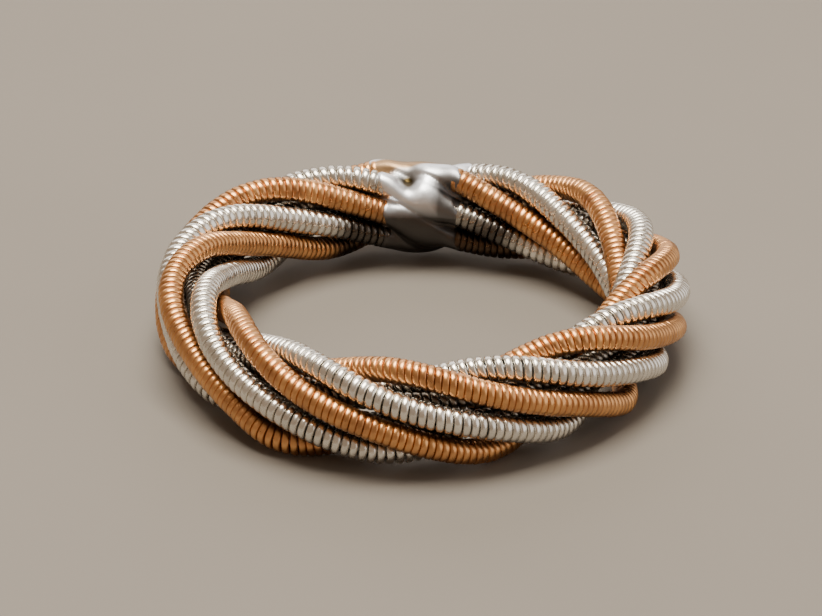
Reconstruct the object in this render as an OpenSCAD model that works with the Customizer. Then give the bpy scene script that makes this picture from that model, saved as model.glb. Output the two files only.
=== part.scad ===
// Finger ring laid up like a short rope from wound guitar strings.
// Six wound strings, bronze and nickel by turns, run round a heart of two nickel-wound strings
// that lie one above the other.
// Their cut ends are soldered together at the back.
// The ring lies flat: Z is up, the table is Z = 0, and the solder joint is at +Y.

/* [Ring] */
// Mean diameter of the rope's centreline
ring_d = 19.9; // [18:0.1:24]
// How much the ring is stretched from side to side
oval = 0.008; // [0:0.002:0.04]
// How much the ring is pressed out of round into three soft lobes
lobes = 0.024; // [0:0.002:0.03]
// Direction of the first lobe, in degrees from +X
lobe_angle = 23; // [0:1:119]

/* [Rope] */
// Distance from the heart to a string's centre at the rope's side
lay_w = 1.23; // [1.23:0.01:1.6]
// Distance from the heart to a bronze string's centre at the rope's top
bronze_lay_h = 1.93; // [1.9:0.01:2]
// Distance from the heart to a nickel string's centre at the rope's top
nickel_lay_h = 1.73; // [1.73:0.01:2]
// Thirds of a turn that each string makes round the heart in one circuit
lay_thirds = 8; // [6:1:8]
// Where the first string sits round the heart at the joint, in degrees
lay_start = -40.5; // [-50:0.5:-32]
// How far the strings are drawn together at the rope's two sides, in degrees
lay_spread = 7.8; // [7.4:0.1:8.2]
// How far the strings ride up at the rope's two sides, in degrees
lay_lift = 3.8; // [0:0.1:4]
// How far the lay runs ahead and lags behind, twice in a circuit, in degrees
lay_drift = 4.4; // [0:0.1:6]
// Where round the ring the lay runs furthest ahead, in degrees from +X
drift_angle = 106; // [0:1:179]
// How much the rope is drawn flatter at the joint
joint_draw = 0.12; // [0:0.01:0.12]

/* [Strings] */
// Diameter of a bronze-wound string
bronze_d = 1.14; // [0.9:0.01:1.14]
// Diameter of its steel core
bronze_core_d = 0.5; // [0.4:0.01:0.55]
// Diameter of a nickel-wound string
nickel_d = 1.17; // [0.9:0.01:1.17]
// Diameter of its steel core
nickel_core_d = 0.46; // [0.4:0.01:0.55]
// Diameter of a heart string
heart_d = 0.91; // [0.8:0.01:0.91]
// Diameter of its steel core
heart_core_d = 0.36; // [0.3:0.01:0.45]
// Distance from the middle of the heart to the centre of each heart string
heart_h = 0.53; // [0.53:0.01:0.54]

/* [Knuckles] */
// How far the first bronze string stands out where it was bent over the rope's lower edge
knuckle_1 = 0.45; // [0:0.05:0.8]
// The same for the third bronze string
knuckle_3 = 0.25; // [0:0.05:0.8]

/* [Left side] */
// How far the first bronze string stands out at the ring's left side
side_out_1 = 0.3; // [0:0.05:0.3]
// How far the third bronze string stands out there, lower down
side_out_3 = 0.2; // [0:0.05:0.25]
// How far the third nickel string is pressed up and in between the two
side_press = 0.13; // [0:0.01:0.13]

/* [Solder joint] */
// Length of the joint along the ring
joint_l = 3.4; // [2.4:0.1:5]
// How far the joint swells out past the strings at its middle
joint_swell = 0.12; // [0:0.01:0.2]
// Depth of the dip in the top of the joint
dip_depth = 0.5; // [0:0.05:0.6]

/* [Hidden] */

// The joint is centred at this angle round the ring, and the strings fill the rest of the circuit
joint_angle = 90;
joint_half = joint_l / ring_d * 180 / PI;
string_start = joint_angle + joint_half;
string_end = joint_angle + 360 - joint_half;

// The strings that lie lowest touch the table, which sets the height of the heart's middle
heart_z = max(bronze_lay_h + bronze_d / 2, nickel_lay_h + nickel_d / 2);

// Place of a string in the rope: 0 to 5 go round the heart, and these two are the heart itself
LOW_HEART = -1;
HIGH_HEART = -2;
outer_count = 6;
function is_bronze(i) = i % 2 == 0;

// Knuckle of each outer string: most have none. It lies where the string has gone most of the
// way from the rope's outer side to its underside, in its second turn.
KNUCKLES = [knuckle_1, 0, 0, 0, knuckle_3, 0];
knuckle_lay = -431.5;
knuckle_width = 9;

// How far each outer string stands out and up at the ring's left side, and where that is
SIDES = [[side_out_1, 0], [0, 0], [0, 0], [0, 0], [side_out_3, 0], [-side_press, side_press]];
side_angle = 188;
side_width = 13;

// Facets of a string: sides round it and sections along it
string_sides = 8;
string_sections = 60;
// Angle either side of a section over which its direction is measured
step = 0.5;

// Facets of the solder joint, and the width of its dip round it and along it
joint_sides = 32;
joint_sections = 14;
dip_spread = 24;
dip_length = 2.6;
dip_angle = joint_angle + 2.5;

bronze_colour = [0.72, 0.50, 0.29];
nickel_colour = [0.80, 0.78, 0.74];
steel_colour = [0.62, 0.63, 0.65];
solder_colour = [0.76, 0.75, 0.74];

// ---- The path of a string ----

function unit(v) = v / norm(v);

// Direction out from the ring's axis at angle t, and direction along the ring there
function outward(t) = [cos(t), sin(t), 0];
function along(t) = [-sin(t), cos(t), 0];

function ring_r(t) = ring_d / 2 * (1 + oval * cos(2 * t) + lobes * cos(3 * (t - lobe_angle)));

// Height of the rope at angle t, as a share of its full height
function draw(t) = 1 - joint_draw * pow((1 + sin(t)) / 2, 4);

// Angle of string i round the heart, at angle t round the ring, if the lay were even
function even_lay(i, t) = lay_start + 360 / outer_count * i - lay_thirds / 3 * (t - joint_angle);

// The same with its drift round the ring, and then with its unevenness round the heart
function drifted_lay(i, t) = even_lay(i, t) + lay_drift * cos(2 * (t - drift_angle));
function lay(i, t) = let(a = drifted_lay(i, t))
    a - lay_spread * sin(2 * a) + lay_lift * cos(a);

function middle(t) = ring_r(t) * outward(t) + [0, 0, heart_z];

// Angle round the ring at which string i has its knuckle, and how far it stands out at angle t
function knuckle_angle(i) = joint_angle + (even_lay(i, joint_angle) - knuckle_lay) * 3 / lay_thirds;
function knuckle(i, t) = KNUCKLES[i] * exp(-pow((t - knuckle_angle(i)) / knuckle_width, 2));

// How far string i stands out and up at angle t, near the ring's left side
function side(i, t) = SIDES[i] * exp(-pow((t - side_angle) / side_width, 2));

function lay_h(i) = is_bronze(i) ? bronze_lay_h : nickel_lay_h;

function heart_point(i, t) = middle(t) + [0, 0, (i == HIGH_HEART ? heart_h : -heart_h) * draw(t)];

function outer_point(i, t) = middle(t)
    + (lay_w * cos(lay(i, t)) + knuckle(i, t) + side(i, t)[0]) * outward(t)
    + [0, 0, lay_h(i) * draw(t) * sin(lay(i, t)) + side(i, t)[1]];

function string_point(i, t) = i < 0 ? heart_point(i, t) : outer_point(i, t);

function string_direction(i, t) = unit(string_point(i, t + step) - string_point(i, t - step));

// ---- Sections and skins ----

// One section of a round string, cut by the plane that holds the ring's axis, so that the last
// section lies flat against the solder joint. Its first corner points out from the ring's axis.
function string_section(i, t, r) = let(
    centre = string_point(i, t),
    v = string_direction(i, t),
    n = unit(outward(t) - (outward(t) * v) * v),
    b = cross(v, n)
) [
    for (k = [0 : string_sides - 1])
        let(
            a = 360 * k / string_sides,
            d = r * (cos(a) * n + sin(a) * b)
        ) centre + d - v * (d * along(t)) / (v * along(t))
];

function section_angle(s) = string_start + (string_end - string_start) * s / (string_sections - 1);

function string_skin(i, r) = [
    for (s = [0 : string_sections - 1])
        each string_section(i, section_angle(s), r)
];

// The two triangles of a four-sided patch, facing out or facing into a bore
function patch(a, b, c, d, inward) = inward ? [[c, b, a], [d, c, a]] : [[a, b, c], [a, c, d]];

// Patches between one ring of points and the next, starting at point "first"
function skin_faces(sections, sides, first, inward) = [
    for (s = [0 : sections - 2])
        for (k = [0 : sides - 1])
            let(
                p = first + s * sides,
                q = p + sides,
                j = (k + 1) % sides
            ) each patch(p + k, p + j, q + j, q + k, inward)
];

// Faces of the flat rings between the outer skin and the bore, at both ends
function end_faces(sections, sides) = let(
    bore = sections * sides,
    last = (sections - 1) * sides
) [
    for (k = [0 : sides - 1])
        let(j = (k + 1) % sides)
            each concat(
                patch(k, bore + k, bore + j, j, false),
                patch(last + j, bore + last + j, bore + last + k, last + k, false)
            )
];

// A closed body from rings of points, with a flat cap at each end
module solid_skin(points, sections, sides) {
    cap = [for (k = [0 : sides - 1]) k];
    last = (sections - 1) * sides;
    first_cap = [for (k = cap) sides - 1 - k];
    last_cap = [for (k = cap) last + k];
    polyhedron(
        points = points,
        faces = concat([first_cap, last_cap], skin_faces(sections, sides, 0, false)),
        convexity = 10
    );
}

// ---- The pieces of a string ----

// The steel core wire of string i
module core_wire(i, d) {
    color(steel_colour)
        solid_skin(string_skin(i, d / 2), string_sections, string_sides);
}

// The wrap winding of string i: a close winding, so a sleeve between the core and the string's
// outer diameter
module wrap_winding(i, d, core_d, tone) {
    bore = string_sections * string_sides;
    color(tone)
        polyhedron(
            points = concat(string_skin(i, d / 2), string_skin(i, core_d / 2)),
            faces = concat(
                skin_faces(string_sections, string_sides, 0, false),
                skin_faces(string_sections, string_sides, bore, true),
                end_faces(string_sections, string_sides)
            ),
            convexity = 10
        );
}

module bronze_core(i) {
    core_wire(i, bronze_core_d);
}

module bronze_wrap(i) {
    wrap_winding(i, bronze_d, bronze_core_d, bronze_colour);
}

module nickel_core(i) {
    core_wire(i, nickel_core_d);
}

module nickel_wrap(i) {
    wrap_winding(i, nickel_d, nickel_core_d, nickel_colour);
}

module heart_core(i) {
    core_wire(i, heart_core_d);
}

module heart_wrap(i) {
    wrap_winding(i, heart_d, heart_core_d, nickel_colour);
}

// ---- The solder joint ----

// Swell of the joint at angle t: none at its ends and full at its middle
function swell(t) = joint_swell * pow(cos((t - joint_angle) / joint_half * 90), 2);

// Depth of the dip at angle t round the ring and angle a round the rope
function dip(t, a) = dip_depth
    * exp(-pow((a - 90) / dip_spread, 2))
    * exp(-pow((t - dip_angle) / dip_length, 2));

function joint_point(t, a) = let(
    w = lay_w + nickel_d / 2 + swell(t) - dip(t, a),
    h = bronze_lay_h * draw(t) + bronze_d / 2 + swell(t) - dip(t, a)
) middle(t) + w * cos(a) * outward(t) + [0, 0, h * sin(a)];

function joint_t(s) = joint_angle - joint_half + 2 * joint_half * s / (joint_sections - 1);

// The lump of solder that the cut ends are run into
module solder_joint() {
    points = [
        for (s = [0 : joint_sections - 1])
            for (k = [0 : joint_sides - 1])
                joint_point(joint_t(s), 360 * k / joint_sides)
    ];
    color(solder_colour)
        solid_skin(points, joint_sections, joint_sides);
}

// ---- The nodes ----

bronze_core(0);  // bronze_core_1
bronze_core(2);  // bronze_core_2
bronze_core(4);  // bronze_core_3
nickel_core(1);  // nickel_core_1
nickel_core(3);  // nickel_core_2
nickel_core(5);  // nickel_core_3
heart_core(LOW_HEART);  // heart_core_1
heart_core(HIGH_HEART);  // heart_core_2
bronze_wrap(0);  // bronze_wrap_1
bronze_wrap(2);  // bronze_wrap_2
bronze_wrap(4);  // bronze_wrap_3
nickel_wrap(1);  // nickel_wrap_1
nickel_wrap(3);  // nickel_wrap_2
nickel_wrap(5);  // nickel_wrap_3
heart_wrap(LOW_HEART);  // heart_wrap_1
heart_wrap(HIGH_HEART);  // heart_wrap_2
solder_joint();
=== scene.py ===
"""Looks of the finger ring laid up from wound guitar strings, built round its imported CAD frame."""

import math

import bpy
import numpy as np
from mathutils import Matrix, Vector


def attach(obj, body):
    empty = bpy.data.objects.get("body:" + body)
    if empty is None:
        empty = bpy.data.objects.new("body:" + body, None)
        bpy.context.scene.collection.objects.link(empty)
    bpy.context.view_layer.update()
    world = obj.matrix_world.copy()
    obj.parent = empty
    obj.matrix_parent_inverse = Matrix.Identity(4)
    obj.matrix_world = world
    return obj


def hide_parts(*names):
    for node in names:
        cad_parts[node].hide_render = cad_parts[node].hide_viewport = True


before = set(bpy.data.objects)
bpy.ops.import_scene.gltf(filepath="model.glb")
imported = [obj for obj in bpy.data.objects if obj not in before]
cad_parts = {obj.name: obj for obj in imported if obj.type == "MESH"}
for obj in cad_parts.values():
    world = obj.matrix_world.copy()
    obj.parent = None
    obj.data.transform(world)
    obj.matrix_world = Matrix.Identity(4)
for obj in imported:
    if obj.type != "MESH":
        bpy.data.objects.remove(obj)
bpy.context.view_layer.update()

MM = 0.001
BODY = "root"
# Every random draw starts from this number plus one that is the piece's own
SEED = 20
HEART_SEED, JOINT_SEED = 8, 30

# ---- The rope's path, in millimetres and degrees, as the CAD source draws it ----

RING_D = 19.9
OVAL, LOBES, LOBE_ANGLE = 0.008, 0.024, 23
LAY_W = 1.23
BRONZE_LAY_H, NICKEL_LAY_H = 1.93, 1.73
LAY_THIRDS, LAY_START = 8, -40.5
LAY_SPREAD, LAY_LIFT = 7.8, 3.8
LAY_DRIFT, DRIFT_ANGLE = 4.4, 106
JOINT_DRAW = 0.12
JOINT_ANGLE, JOINT_L, JOINT_SWELL = 90, 3.4, 0.12
JOINT_HALF = math.degrees(JOINT_L / RING_D)
STRING_START = JOINT_ANGLE + JOINT_HALF
STRING_END = JOINT_ANGLE + 360 - JOINT_HALF
BRONZE_D, BRONZE_CORE_D = 1.14, 0.5
NICKEL_D, NICKEL_CORE_D = 1.17, 0.46
HEART_D, HEART_CORE_D, HEART_H = 0.91, 0.36, 0.53
HEART_Z = max(BRONZE_LAY_H + BRONZE_D / 2, NICKEL_LAY_H + NICKEL_D / 2)
# How far each outer string stands out where it has a knuckle, and where on its lay that is
KNUCKLES = (0.45, 0, 0, 0, 0.25, 0)
KNUCKLE_LAY, KNUCKLE_WIDTH = -431.5, 9
# How far each outer string stands out and up at the ring's left side
SIDES = ((0.3, 0), (0, 0), (0, 0), (0, 0), (0.2, 0), (-0.13, 0.13))
SIDE_ANGLE, SIDE_WIDTH = 188, 13
# Place of a string in the rope: 0 to 5 go round the heart, and these two are the heart itself
OUTER_COUNT = 6
LOW_HEART, HIGH_HEART = -1, -2
UP = np.array([0.0, 0.0, 1.0])


def unit(v):
    return v / np.linalg.norm(v, axis=-1, keepdims=True)


def bell(x, width, power=2):
    """1 where x is 0, and less the further x is from it. A high power has a flat top."""
    return np.exp(-((x / width) ** power))


def fade(x, width):
    """0 below 0, and a straight rise to 1 at width."""
    return np.clip(x / width, 0, 1)


def outward(t):
    """Direction out from the ring's axis at angles t round the ring."""
    a = np.radians(t)
    return np.stack([np.cos(a), np.sin(a), np.zeros_like(a)], -1)


def ring_r(t):
    oval = OVAL * np.cos(np.radians(2 * t))
    lobes = LOBES * np.cos(np.radians(3 * (t - LOBE_ANGLE)))
    return RING_D / 2 * (1 + oval + lobes)


def draw(t):
    """Height of the rope at angle t, as a share of its full height."""
    return 1 - JOINT_DRAW * ((1 + np.sin(np.radians(t))) / 2) ** 4


def even_lay(i, t):
    """Angle of string i round the heart at angles t, if the lay were even."""
    return LAY_START + 360 / OUTER_COUNT * i - LAY_THIRDS / 3 * (t - JOINT_ANGLE)


def lay(i, t):
    """The same with its drift round the ring and its unevenness round the heart."""
    drift = LAY_DRIFT * np.cos(np.radians(2 * (t - DRIFT_ANGLE)))
    a = np.radians(even_lay(i, t) + drift)
    return np.degrees(a) - LAY_SPREAD * np.sin(2 * a) + LAY_LIFT * np.cos(a)


def lay_h(i):
    return BRONZE_LAY_H if i % 2 == 0 else NICKEL_LAY_H


def knuckle(i, t):
    """How far string i stands out at angles t, near where it has its knuckle."""
    at = JOINT_ANGLE + (even_lay(i, JOINT_ANGLE) - KNUCKLE_LAY) * 3 / LAY_THIRDS
    return KNUCKLES[i] * bell(t - at, KNUCKLE_WIDTH)


def middle(t):
    """Centre line of the rope."""
    return ring_r(t)[..., None] * outward(t) + HEART_Z * UP


def string_point(i, t):
    """Centre of string i at angles t round the ring."""
    p = middle(t)
    if i < 0:
        rise = (HEART_H if i == HIGH_HEART else -HEART_H) * draw(t)
        return p + rise[..., None] * UP
    a = np.radians(lay(i, t))
    side = bell(t - SIDE_ANGLE, SIDE_WIDTH)
    out = LAY_W * np.cos(a) + knuckle(i, t) + SIDES[i][0] * side
    rise = lay_h(i) * draw(t) * np.sin(a) + SIDES[i][1] * side
    return p + out[..., None] * outward(t) + rise[..., None] * UP


def string_frame(i, t):
    """Direction of string i at angles t, and two directions square to it."""
    step = 0.25
    v = unit(string_point(i, t + step) - string_point(i, t - step))
    o = outward(t)
    n = unit(o - (o * v).sum(-1, keepdims=True) * v)
    return v, n, np.cross(v, n)


# ---- Mesh making ----


def smooth_noise(rng, n, spacing):
    """n values about 0, near -1 to 1, that wander over about spacing steps."""
    knots = int(n / spacing) + 4
    x = np.arange(n) / spacing
    k = np.minimum(x.astype(int), knots - 2)
    f = x - k
    f = f * f * (3 - 2 * f)
    values = rng.uniform(-1, 1, knots)
    return values[k] * (1 - f) + values[k + 1] * f


def new_object(name, data):
    obj = bpy.data.objects.new(name, data)
    bpy.context.scene.collection.objects.link(obj)
    return obj


def grid_mesh(name, points, marks):
    """A closed smooth tube from sections of points (sections, sides, 3) in millimetres. Each
    mark is a value at every point that a material can read."""
    sections, sides, _ = points.shape
    mesh = bpy.data.meshes.new(name)
    corner = np.arange(sections * sides).reshape(sections, sides)
    a, b = corner[:-1], np.roll(corner[:-1], -1, axis=1)
    d, c = corner[1:], np.roll(corner[1:], -1, axis=1)
    quads = np.stack([a, b, c, d], -1).reshape(-1)
    caps = np.concatenate([corner[0][::-1], corner[-1]])
    loops = np.concatenate([quads, caps]).astype(np.int32)
    n_quads = (sections - 1) * sides
    starts = np.concatenate([np.arange(n_quads) * 4, n_quads * 4 + np.array([0, sides])])
    mesh.vertices.add(sections * sides)
    mesh.vertices.foreach_set("co", (points.reshape(-1) * MM).astype(np.float32))
    mesh.loops.add(len(loops))
    mesh.loops.foreach_set("vertex_index", loops)
    mesh.polygons.add(n_quads + 2)
    mesh.polygons.foreach_set("loop_start", starts.astype(np.int32))
    smooth = np.ones(n_quads + 2, bool)
    smooth[-2:] = False
    mesh.polygons.foreach_set("use_smooth", smooth)
    mesh.update(calc_edges=True)
    for key, values in marks.items():
        layer = mesh.attributes.new(key, "FLOAT", "POINT")
        layer.data.foreach_set("value", values.reshape(-1).astype(np.float32))
    mesh.validate()
    return new_object(name, mesh)


def tube(name, centres, e1, e2, profile, marks):
    """Sections of a profile (sides, 2) set on centres, across directions e1 and e2."""
    points = (
        centres[:, None, :]
        + profile[None, :, :1] * e1[:, None, :]
        + profile[None, :, 1:] * e2[:, None, :]
    )
    return grid_mesh(name, points, marks)


def rounded(half, power, angles):
    """A profile between a circle (power 2) and a square (high power)."""
    c, s = np.cos(angles), np.sin(angles)
    r = (np.abs(c) ** power + np.abs(s) ** power) ** (-1 / power)
    return np.stack([half * r * c, half * r * s], -1)


# ---- The pieces of a string ----

# Diameters of each kind of string, and how it is wound: the pitch of the turns where the string is
# straight, how square the wrap wire's section is (2 is round), and the share of its place between
# its neighbours that a turn fills (above 1 the turns are pressed together)
STRINGS = {
    "bronze": dict(d=BRONZE_D, core_d=BRONZE_CORE_D, pitch=0.284, power=5.0, fill=1.09),
    "nickel": dict(d=NICKEL_D, core_d=NICKEL_CORE_D, pitch=0.342, power=3.8, fill=0.975),
    "heart": dict(d=HEART_D, core_d=HEART_CORE_D, pitch=0.33, power=3.0, fill=0.97),
}
# Share of the CAD radius that a winding's crests and a core's corners reach
CREST_SHARE, CORE_SHARE = 0.995, 0.99
CORE_SECTIONS, CORE_SIDES = 240, 14

# Corners of a wrap wire's section, from straight out: close together on the side that shows
WIRE_ANGLES = np.radians([0, 28, 52, 76, 104, 142, 180, 218, 256, 284, 308, 332])
# Points of the wire in one turn, and points of the string's path that the turns are counted on
SEGMENTS = 34
PATH_POINTS = 6001

# How much the turns open where the string bends, and how much anywhere, over so many path points
BEND_GAP = 0.8
LOOSE_GAP, LOOSE_POINTS = 0.03, 160
# Irregularities of the turns, and over how many turns each wanders: leaning over, straying along
# the string, sinking in, and a change of tone
LEAN, LEAN_TURNS = 0.10, 9
STRAY, STRAY_TURNS = 0.035, 0.8
SINK, SINK_TURNS = 0.012, 1.3
TONE_TURNS = 0.7
# Least and most width of a turn, as a share of the pitch
NARROWEST, WIDEST = 0.94, 1.12

# Degrees round the ring past the joint and before it at which the painted shade on the strings ends,
# and over which it fades
SHADE_PAST, SHADE_PAST_FADE = 31, 9
SHADE_BEFORE, SHADE_BEFORE_FADE = 36, 12
# The heart lies deep in the rope, so it is painted this much shade all round
HEART_SHADE = 0.48


def count_turns(i, reach, pitch, rng):
    """Turns made by the wrap wire of string i at its own points, and angles round the ring there.
    reach is how far the wire's middle is from the string's."""
    t = np.linspace(STRING_START, STRING_END, PATH_POINTS)
    steps = np.linalg.norm(np.diff(string_point(i, t), axis=0), axis=1)
    run = np.concatenate([[0], np.cumsum(steps)])
    direction = string_frame(i, t)[0]
    bend = np.linalg.norm(np.gradient(direction, run, axis=0), axis=1)
    loose = LOOSE_GAP * (1 + smooth_noise(rng, len(t), LOOSE_POINTS))
    gap = 1 + BEND_GAP * reach * bend + loose
    rate = 1 / (pitch * gap)
    turns = np.concatenate([[0], np.cumsum((rate[1:] + rate[:-1]) / 2 * steps)])
    turn = np.linspace(0, turns[-1], int(turns[-1] * SEGMENTS) + 1)
    return turn, np.interp(turn, turns, t)


def turn_width(centres, pitch, fill):
    """Width of the wrap wire at each point, which follows the place that the turns on each side
    leave it."""
    place = np.linalg.norm(centres[SEGMENTS:] - centres[:-SEGMENTS], axis=1)
    halfway = np.arange(len(centres)) - SEGMENTS / 2
    place = np.interp(halfway, np.arange(len(place)), place)
    return np.clip(fill * place / pitch, NARROWEST, WIDEST) * pitch


def inward_shade_mark(i, t, radial):
    """How much each point of the winding faces into the rope: 1 fully, and -1 out of it. The
    material paints shade where it faces in.
    """
    if i < 0:
        return np.full(len(t), HEART_SHADE)
    return -(radial * unit(string_point(i, t) - middle(t))).sum(-1)


def joint_shade_mark(centres, t):
    """How much painted shade darkens the winding: most near the joint, inside and below."""
    past = (t - JOINT_ANGLE + 180) % 360 - 180
    near = fade(SHADE_PAST - past, SHADE_PAST_FADE)
    near = near * fade(SHADE_BEFORE + past, SHADE_BEFORE_FADE)
    off = centres - middle(t)
    high = off[:, 2] / (BRONZE_LAY_H * draw(t))
    out = (off * outward(t)).sum(-1) / LAY_W
    # painted shade full low on the rope and on its inner side, and only a trace at the top and
    # outside
    below = np.clip(0.80 - 1.5 * high, 0.15, 1)
    inside = np.clip(0.75 - 0.9 * out, 0.1, 1)
    return near * near * (3 - 2 * near) * below * inside


def wrap_turns(i, d, core_d, pitch, power, fill):
    """The wrap wire of string i, wound round its core: centres, directions across them, profile
    and marks for tube()."""
    rng = np.random.default_rng(SEED + (i if i >= 0 else HEART_SEED - i))
    wire = (d - core_d) / 2
    reach = d / 2 * CREST_SHARE - wire / 2
    turn, t = count_turns(i, reach, pitch, rng)
    v, n, b = string_frame(i, t)
    phase = 2 * math.pi * turn
    c, s = np.cos(phase)[:, None], np.sin(phase)[:, None]
    radial = c * n + s * b

    def wander(turns):
        return smooth_noise(rng, len(t), SEGMENTS * turns)

    lean_n = LEAN * wander(LEAN_TURNS)[:, None]
    lean_b = LEAN * wander(LEAN_TURNS)[:, None]
    stray = STRAY * wander(STRAY_TURNS)[:, None]
    sink = SINK * (1 + wander(SINK_TURNS))[:, None]
    centres = string_point(i, t) + (reach - sink) * radial
    centres = centres + v * (reach * (lean_n * c + lean_b * s) + wire * stray)

    run = unit(np.gradient(centres, axis=0))
    e1 = unit(radial - (radial * run).sum(-1, keepdims=True) * run)
    e2 = np.cross(run, e1) * (turn_width(centres, pitch, fill) / wire)[:, None]
    profile = rounded(wire / 2, power, WIRE_ANGLES)

    # 0 at the crest of the wire and 1 at its foot, the same in every section
    depth = (wire / 2 - profile[:, 0]) / wire
    marks = {"depth": np.tile(depth, (len(t), 1))}
    along_wire = {
        "tone": wander(TONE_TURNS),
        "inward_shade": inward_shade_mark(i, t, radial),
        "joint_shade": joint_shade_mark(centres, t),
    }
    for key, values in along_wire.items():
        marks[key] = np.repeat(values[:, None], len(profile), 1)
    return centres, e1, e2, profile, marks


def core_wire(name, i, d):
    t = np.linspace(STRING_START, STRING_END, CORE_SECTIONS)
    _, n, b = string_frame(i, t)
    a = np.linspace(0, 2 * math.pi, CORE_SIDES, endpoint=False)
    r = d / 2 * CORE_SHARE
    circle = np.stack([r * np.cos(a), r * np.sin(a)], -1)
    return tube(name, string_point(i, t), n, b, circle, {})


# ---- Materials ----

# Sockets of a Mix node that mixes colours, whose names it shares with its other kinds of data
MIX_FACTOR, MIX_A, MIX_B, MIX_RESULT = 0, 6, 7, 2

# Colours of painted shade on the strings near the joint and on the solder, and the brown of a bronze
# string's end under the solder
JOINT_SHADE = (0.045, 0.034, 0.026)
SOLDER_SHADE = (0.04, 0.032, 0.025)
BROWNED = (0.34, 0.19, 0.07)
PIT_SHADE = (0.05, 0.034, 0.012)


def new_material(name):
    material = bpy.data.materials.new(name)
    material.use_nodes = True
    tree = material.node_tree
    return material, tree, tree.nodes["Principled BSDF"]


def noise(tree, scale, detail):
    """Noise of so many cells a metre, fixed to the piece."""
    where = tree.nodes.new("ShaderNodeTexCoord")
    node = tree.nodes.new("ShaderNodeTexNoise")
    node.inputs["Scale"].default_value = scale
    node.inputs["Detail"].default_value = detail
    node.inputs["Roughness"].default_value = 0.55
    tree.links.new(where.outputs["Object"], node.inputs["Vector"])
    return node.outputs["Fac"]


def mark(tree, name):
    """A mark of the piece's mesh."""
    node = tree.nodes.new("ShaderNodeAttribute")
    node.attribute_name = name
    return node.outputs["Fac"]


def ramp(tree, source, start, end):
    """A colour or a grey that goes from one stop's to the other's as source rises. A stop is a
    value of source and the colour or grey there."""
    node = tree.nodes.new("ShaderNodeValToRGB")
    for element, (at, colour) in zip(node.color_ramp.elements, (start, end)):
        rgb = colour if isinstance(colour, tuple) else (colour,) * 3
        element.position = at
        element.color = (*rgb, 1)
    tree.links.new(source, node.inputs["Fac"])
    return node.outputs["Color"]


def mix(tree, kind, factor, a, b):
    """Colours a and b mixed. Each value is another node's output or a constant."""
    node = tree.nodes.new("ShaderNodeMix")
    node.data_type = "RGBA"
    node.blend_type = kind
    for socket, value in ((MIX_FACTOR, factor), (MIX_A, a), (MIX_B, b)):
        if isinstance(value, bpy.types.NodeSocket):
            tree.links.new(value, node.inputs[socket])
        else:
            node.inputs[socket].default_value = value
    return node.outputs[MIX_RESULT]


def cover(tree, base, name, colour, start, end):
    """A colour laid over base, by an amount that follows a mark from one stop to the other."""
    amount = ramp(tree, mark(tree, name), start, end)
    return mix(tree, "MIX", amount, base, (*colour, 1))


def metal_surface(tree, shader, rough, rough_scale, grain, strength, height):
    """A roughness that varies between two values, and a fine bump. grain is the scale and the
    detail of the bump's noise, and height is in metres."""
    spread = ramp(tree, noise(tree, rough_scale, 3), (0.3, rough[0]), (0.75, rough[1]))
    tree.links.new(spread, shader.inputs["Roughness"])
    bump = tree.nodes.new("ShaderNodeBump")
    bump.inputs["Strength"].default_value = strength
    bump.inputs["Distance"].default_value = height
    tree.links.new(noise(tree, *grain), bump.inputs["Height"])
    tree.links.new(bump.outputs["Normal"], shader.inputs["Normal"])


def wound_metal(name, bright, dull, dark, rough, groove=(0.28, 0.52), bare=0.4):
    """Wire that is polished on its crests, and dull and dirty down between the turns. Dirt begins
    at the first depth of groove and is full at the second, where bare says how metallic it is."""
    material, tree, shader = new_material(name)
    patina = ramp(tree, noise(tree, 900, 4), (0.35, bright), (0.7, dull))
    tone = ramp(tree, mark(tree, "tone"), (0.0, 1.0), (1.0, 0.86))
    base = mix(tree, "MULTIPLY", 1.0, patina, tone)
    # painted shade on the faces that look into the rope, and on the whole heart
    base = cover(tree, base, "inward_shade", dark, (0.15, 0.0), (0.75, 0.9))
    # painted shade on the winding near the joint, low and on the rope's inner side
    base = cover(tree, base, "joint_shade", JOINT_SHADE, (0.0, 0.0), (1.0, 0.94))
    base = cover(tree, base, "depth", dark, (groove[0], 0.0), (groove[1], 1.0))
    tree.links.new(base, shader.inputs["Base Color"])
    clean = ramp(tree, mark(tree, "depth"), (groove[0], 1.0), (groove[1], bare))
    tree.links.new(clean, shader.inputs["Metallic"])
    metal_surface(tree, shader, rough, 2600, grain=(14000, 2), strength=0.35, height=4e-6)
    return material


def steel_material():
    material, tree, shader = new_material("steel")
    base = ramp(tree, noise(tree, 1200, 5), (0.3, (0.50, 0.50, 0.51)), (0.75, (0.34, 0.33, 0.33)))
    tree.links.new(base, shader.inputs["Base Color"])
    shader.inputs["Metallic"].default_value = 1.0
    metal_surface(tree, shader, (0.3, 0.45), 3600, grain=(9600, 3), strength=0.3, height=6e-6)
    return material


def solder_material():
    material, tree, shader = new_material("solder")
    base = ramp(tree, noise(tree, 1100, 5), (0.3, (0.85, 0.87, 0.92)), (0.72, (0.74, 0.76, 0.80)))
    base = cover(tree, base, "warm", BROWNED, (0.3, 0.0), (0.7, 0.92))
    # painted shade on the solder's inner side and near the top of its right end
    base = cover(tree, base, "solder_shade", SOLDER_SHADE, (0.0, 0.0), (1.0, 0.95))
    # painted shade in the pit on the solder's top
    base = cover(tree, base, "pit_shade", PIT_SHADE, (0.0, 0.0), (1.0, 1.0))
    tree.links.new(base, shader.inputs["Base Color"])
    shader.inputs["Metallic"].default_value = 1.0
    metal_surface(tree, shader, (0.34, 0.5), 2400, grain=(5200, 4), strength=0.4, height=1.2e-5)
    return material


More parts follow.
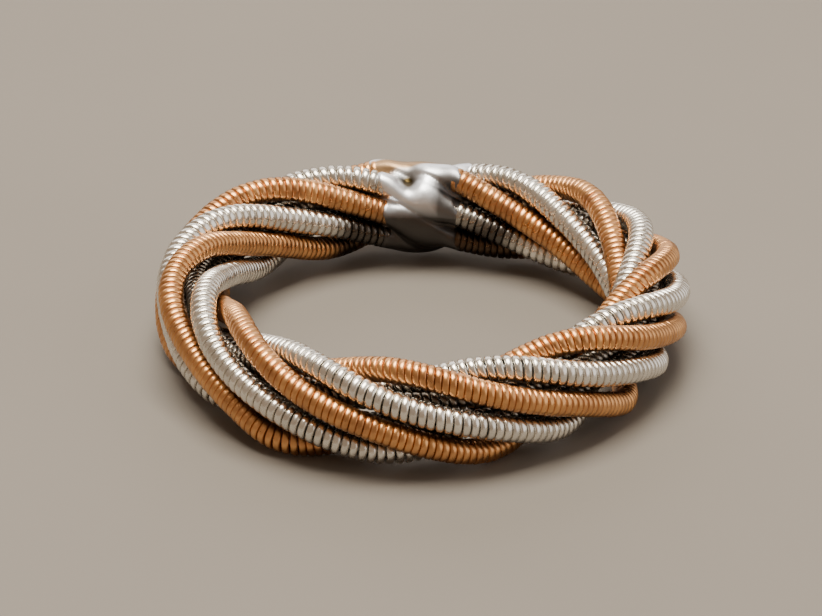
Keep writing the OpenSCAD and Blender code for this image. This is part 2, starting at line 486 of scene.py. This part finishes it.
bronze = wound_metal(
    "bronze",
    bright=(0.76, 0.395, 0.158),
    dull=(0.52, 0.245, 0.105),
    dark=(0.34, 0.16, 0.075),
    rough=(0.25, 0.38),
    groove=(0.34, 0.75),
    bare=0.7,
)
nickel = wound_metal(
    "nickel",
    bright=(0.84, 0.80, 0.73),
    dull=(0.72, 0.68, 0.61),
    dark=(0.15, 0.125, 0.10),
    rough=(0.21, 0.33),
)
# The heart's dull and dark colours, far below the outer nickel's, are painted shade for its place
# deep in the rope
heart_nickel = wound_metal(
    "heart_nickel",
    bright=(0.78, 0.72, 0.63),
    dull=(0.16, 0.13, 0.10),
    dark=(0.012, 0.010, 0.007),
    rough=(0.22, 0.36),
)
steel = steel_material()
solder = solder_material()


def finish_piece(obj, material, slot, node):
    obj.data.materials.append(material)
    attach(obj, BODY)
    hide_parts(node)


# ---- The strings ----

FINISHES = {
    "bronze": (bronze, "bronze_winding"),
    "nickel": (nickel, "nickel_winding"),
    "heart": (heart_nickel, "nickel_winding"),
}


def make_string(kind, k, i):
    """The winding and the core of string i, which is number k of its kind."""
    winding = tube(f"{kind}_winding_{k}", *wrap_turns(i, **STRINGS[kind]))
    finish_piece(winding, *FINISHES[kind], f"{kind}_wrap_{k}")
    core = core_wire(f"{kind}_string_core_{k}", i, STRINGS[kind]["core_d"])
    finish_piece(core, steel, "steel_core", f"{kind}_core_{k}")


for pair in range(OUTER_COUNT // 2):
    make_string("bronze", pair + 1, 2 * pair)
    make_string("nickel", pair + 1, 2 * pair + 1)
make_string("heart", 1, LOW_HEART)
make_string("heart", 2, HIGH_HEART)

# ---- The solder joint ----

LUMP_SECTIONS, LUMP_SIDES = 90, 180
# How far the lump runs over the strings at each end of the CAD joint, in degrees
LUMP_REACH = JOINT_HALF + 4.5
# How sharply the strings' ends stand out of the solder, and its least radius between them as a
# share of the smooth oval's
LOBE_SHARP, VALLEY_SHARE = 14.0, 0.62
# How much of the strings' shapes is melted away at the middle, over what share of half the joint's
# length, and the melted lump's radius as a share of the oval's
MELTED, MELT_LENGTH, MELT_SHARE = 0.75, 0.85, 0.985
# Thickness of the solder on the strings, how deep it sinks under them past its ragged ends, and
# where that is as shares of half the joint's length
SKIN, EDGE_DEPTH = 0.015, 0.3
EDGE_AT, EDGE_RAGGED, EDGE_FADE = 1.16, 0.16, 0.3
# How many sides the ragged edge wanders over, and how many by the mesh's seam it dies out over
RAGGED_SIDES, SEAM_SIDES = 12, 20

# Places on the lump, in degrees: a turn is an angle round the rope from its top towards the ring's
# inside, and an "at" is an angle round the ring. The pit, painted dark as shade, with its depth in
# millimetres:
PIT_TURN, PIT_AT = 22, 93.5
PIT_WIDTH, PIT_LENGTH, PIT_DEPTH = 24, 3.0, 0.5
# The flatter back of its top, whose length is a share of half the joint's length
FLAT_TURN, FLAT_WIDTH, FLAT_LENGTH, FLAT_DEPTH = -15, 42, 0.8, 0.28
# The end of a bronze string, only just run over, along the top of the back
WARM_TURN, WARM_WIDTH, WARM_AT, WARM_FADE = -12, 14, 93, 4
# Painted shade: where it begins on the inner side, and nearer the top at the joint's right end
SHADE_TURN, SHADE_FADE = 58, 26
END_TURN, END_TURN_FADE = 5, 25
END_AT, END_AT_FADE = 88, 4
END_SHADE = 0.9


def lump_oval(t, a, far):
    """Radius of the joint towards angle a round the rope, if it were one smooth oval."""
    swell = JOINT_SWELL * np.cos(np.clip(far, 0, 1) * math.pi / 2) ** 2
    half_w = LAY_W + NICKEL_D / 2 + swell
    half_h = BRONZE_LAY_H * draw(t) + BRONZE_D / 2 + swell
    return 1 / np.sqrt((np.cos(a) / half_w) ** 2 + (np.sin(a) / half_h) ** 2)


def lump_lobes(t, a, oval):
    """The same with the shapes of the strings' ends. Each side of the joint has its own ends, and
    they run on towards each other."""
    side = np.where(t > JOINT_ANGLE, t, t + 360)
    total = np.exp(LOBE_SHARP * VALLEY_SHARE * oval)
    for i in range(OUTER_COUNT):
        b = np.radians(lay(i, side))
        out, rise = LAY_W * np.cos(b), lay_h(i) * draw(side) * np.sin(b)
        r = (BRONZE_D if i % 2 == 0 else NICKEL_D) / 2
        ahead = out * np.cos(a) + rise * np.sin(a)
        across = out * np.sin(a) - rise * np.cos(a)
        chord = np.sqrt(np.clip(r * r - across**2, 0, None))
        lobe = np.exp(LOBE_SHARP * (ahead + chord))
        total = total + np.where(np.abs(across) < r, lobe, 0)
    return np.minimum(np.log(total) / LOBE_SHARP, oval)


def ragged_edge(far):
    """How far the solder has sunk out of sight, past the ends of the joint."""
    rng = np.random.default_rng(SEED + JOINT_SEED)
    side = np.arange(LUMP_SIDES)
    from_seam = np.minimum(side, LUMP_SIDES - side)
    ragged = smooth_noise(rng, LUMP_SIDES, RAGGED_SIDES) * fade(from_seam, SEAM_SIDES)
    return fade(far - EDGE_AT - EDGE_RAGGED * ragged[None, :], EDGE_FADE)


def joint_mesh():
    """Solder run over the strings' ends: their shapes show near its rims and melt together
    in its middle, with a dip in its top that is painted dark as shade."""
    ring_angles = np.linspace(JOINT_ANGLE - LUMP_REACH, JOINT_ANGLE + LUMP_REACH, LUMP_SECTIONS)
    rope_angles = np.linspace(0, 2 * math.pi, LUMP_SIDES, endpoint=False)
    t, a = np.meshgrid(ring_angles, rope_angles, indexing="ij")
    far = np.abs(t - JOINT_ANGLE) / JOINT_HALF
    oval = lump_oval(t, a, far)
    melt = bell(far, MELT_LENGTH, 4) * MELTED
    radius = lump_lobes(t, a, oval) * (1 - melt) + oval * melt * MELT_SHARE
    radius = radius + SKIN - EDGE_DEPTH * ragged_edge(far)
    turn = (np.degrees(a) - 90 + 180) % 360 - 180
    pit = bell(turn - PIT_TURN, PIT_WIDTH) * bell(t - PIT_AT, PIT_LENGTH)
    flat = bell(turn - FLAT_TURN, FLAT_WIDTH) * bell(far, FLAT_LENGTH, 4)
    radius = radius - PIT_DEPTH * pit - FLAT_DEPTH * flat
    warm = bell(turn - WARM_TURN, WARM_WIDTH)
    warm = warm * fade(LUMP_REACH - np.abs(t - WARM_AT), WARM_FADE)
    inner_side = fade(turn - SHADE_TURN, SHADE_FADE)
    right_end = fade(END_AT - t, END_AT_FADE) * fade(turn - END_TURN, END_TURN_FADE)
    marks = {
        # painted shade in the deep middle of the pit, none on its shallow rim
        "pit_shade": np.clip(pit * 1.5 - 0.25, 0, 1),
        "warm": warm,
        # painted shade on the inner side and at the right end
        "solder_shade": np.maximum(inner_side, END_SHADE * right_end),
    }
    across, rise = radius * np.cos(a), radius * np.sin(a)
    points = middle(t) + across[..., None] * outward(t) + rise[..., None] * UP
    return grid_mesh("solder_joint_run", points, marks)


finish_piece(joint_mesh(), solder, "solder", "solder_joint")

# ---- The floor, the light and the camera, in metres ----

FLOOR_RADIUS, FLOOR_RINGS, FLOOR_SIDES = 3.0, 24, 96
LIGHT_TARGET = Vector((0, 0, 0.002))
ROOM_COLOUR = (0.375, 0.28, 0.205, 1)

# The camera looks along +Y and down (in degrees), with its picture moved a little off its axis.
# Sensor and lens are in millimetres.
CAMERA_ELEVATION, CAMERA_DISTANCE = 27.7, 0.220
SENSOR_WIDTH, LENS = 36, 218.76
SHIFT_X, SHIFT_Y = -0.0112, -0.0069
NEAREST, FURTHEST = 0.01, 20


def floor_disc():
    """A flat round floor, whose rings lie closer together towards the ring."""
    mesh = bpy.data.meshes.new("floor")
    radii = FLOOR_RADIUS * (np.arange(FLOOR_RINGS + 1) / FLOOR_RINGS) ** 3
    angles = np.linspace(0, 2 * math.pi, FLOOR_SIDES, endpoint=False)
    verts = [(r * math.cos(a), r * math.sin(a), 0.0) for r in radii[1:] for a in angles]
    faces = [tuple(range(FLOOR_SIDES))]
    for k in range(FLOOR_RINGS - 1):
        inner, outer = k * FLOOR_SIDES, (k + 1) * FLOOR_SIDES
        for j in range(FLOOR_SIDES):
            n = (j + 1) % FLOOR_SIDES
            faces.append((inner + j, outer + j, outer + n, inner + n))
    mesh.from_pydata(verts, [], faces)
    return new_object("floor", mesh)


def floor_material():
    material, tree, shader = new_material("floor")
    light, dark = (0.184, 0.162, 0.138), (0.172, 0.151, 0.128)
    base = ramp(tree, noise(tree, 30, 4), (0.3, light), (0.7, dark))
    tree.links.new(base, shader.inputs["Base Color"])
    shader.inputs["Roughness"].default_value = 0.8
    return material


def aim(obj, direction):
    """Turn a light or a camera to look along a direction."""
    obj.rotation_mode = "QUATERNION"
    obj.rotation_quaternion = direction.to_track_quat("-Z", "Y")


def softbox(name, place, size, power, colour):
    """A soft rectangular light of a power in watts, aimed at the ring."""
    data = bpy.data.lights.new(name, "AREA")
    data.shape = "RECTANGLE"
    data.size, data.size_y = size
    data.energy = power
    data.color = colour
    obj = new_object(name, data)
    obj.location = place
    aim(obj, LIGHT_TARGET - Vector(place))


def make_world():
    world = bpy.data.worlds.new("studio")
    bpy.context.scene.world = world
    world.use_nodes = True
    background = world.node_tree.nodes["Background"]
    background.inputs["Color"].default_value = ROOM_COLOUR
    background.inputs["Strength"].default_value = 1.0


def make_camera():
    elevation = math.radians(CAMERA_ELEVATION)
    look = Vector((0, math.cos(elevation), -math.sin(elevation)))
    data = bpy.data.cameras.new("camera")
    data.sensor_width = SENSOR_WIDTH
    data.lens = LENS
    data.shift_x, data.shift_y = SHIFT_X, SHIFT_Y
    data.clip_start, data.clip_end = NEAREST, FURTHEST
    obj = new_object("camera", data)
    obj.location = Vector((0, 0, HEART_Z * MM)) - look * CAMERA_DISTANCE
    aim(obj, look)
    bpy.context.scene.camera = obj


floor = floor_disc()
floor.data.materials.append(floor_material())
softbox("overhead", (-0.03, 0.04, 0.5), (0.36, 0.30), 6.2, (1.0, 0.955, 0.85))
softbox("back", (-0.12, 0.75, 0.42), (1.1, 0.5), 3.5, (1.0, 0.985, 0.96))
softbox("right", (0.7, -0.1, 0.3), (1.1, 0.8), 3.0, (0.95, 0.98, 1.0))
make_world()
make_camera()
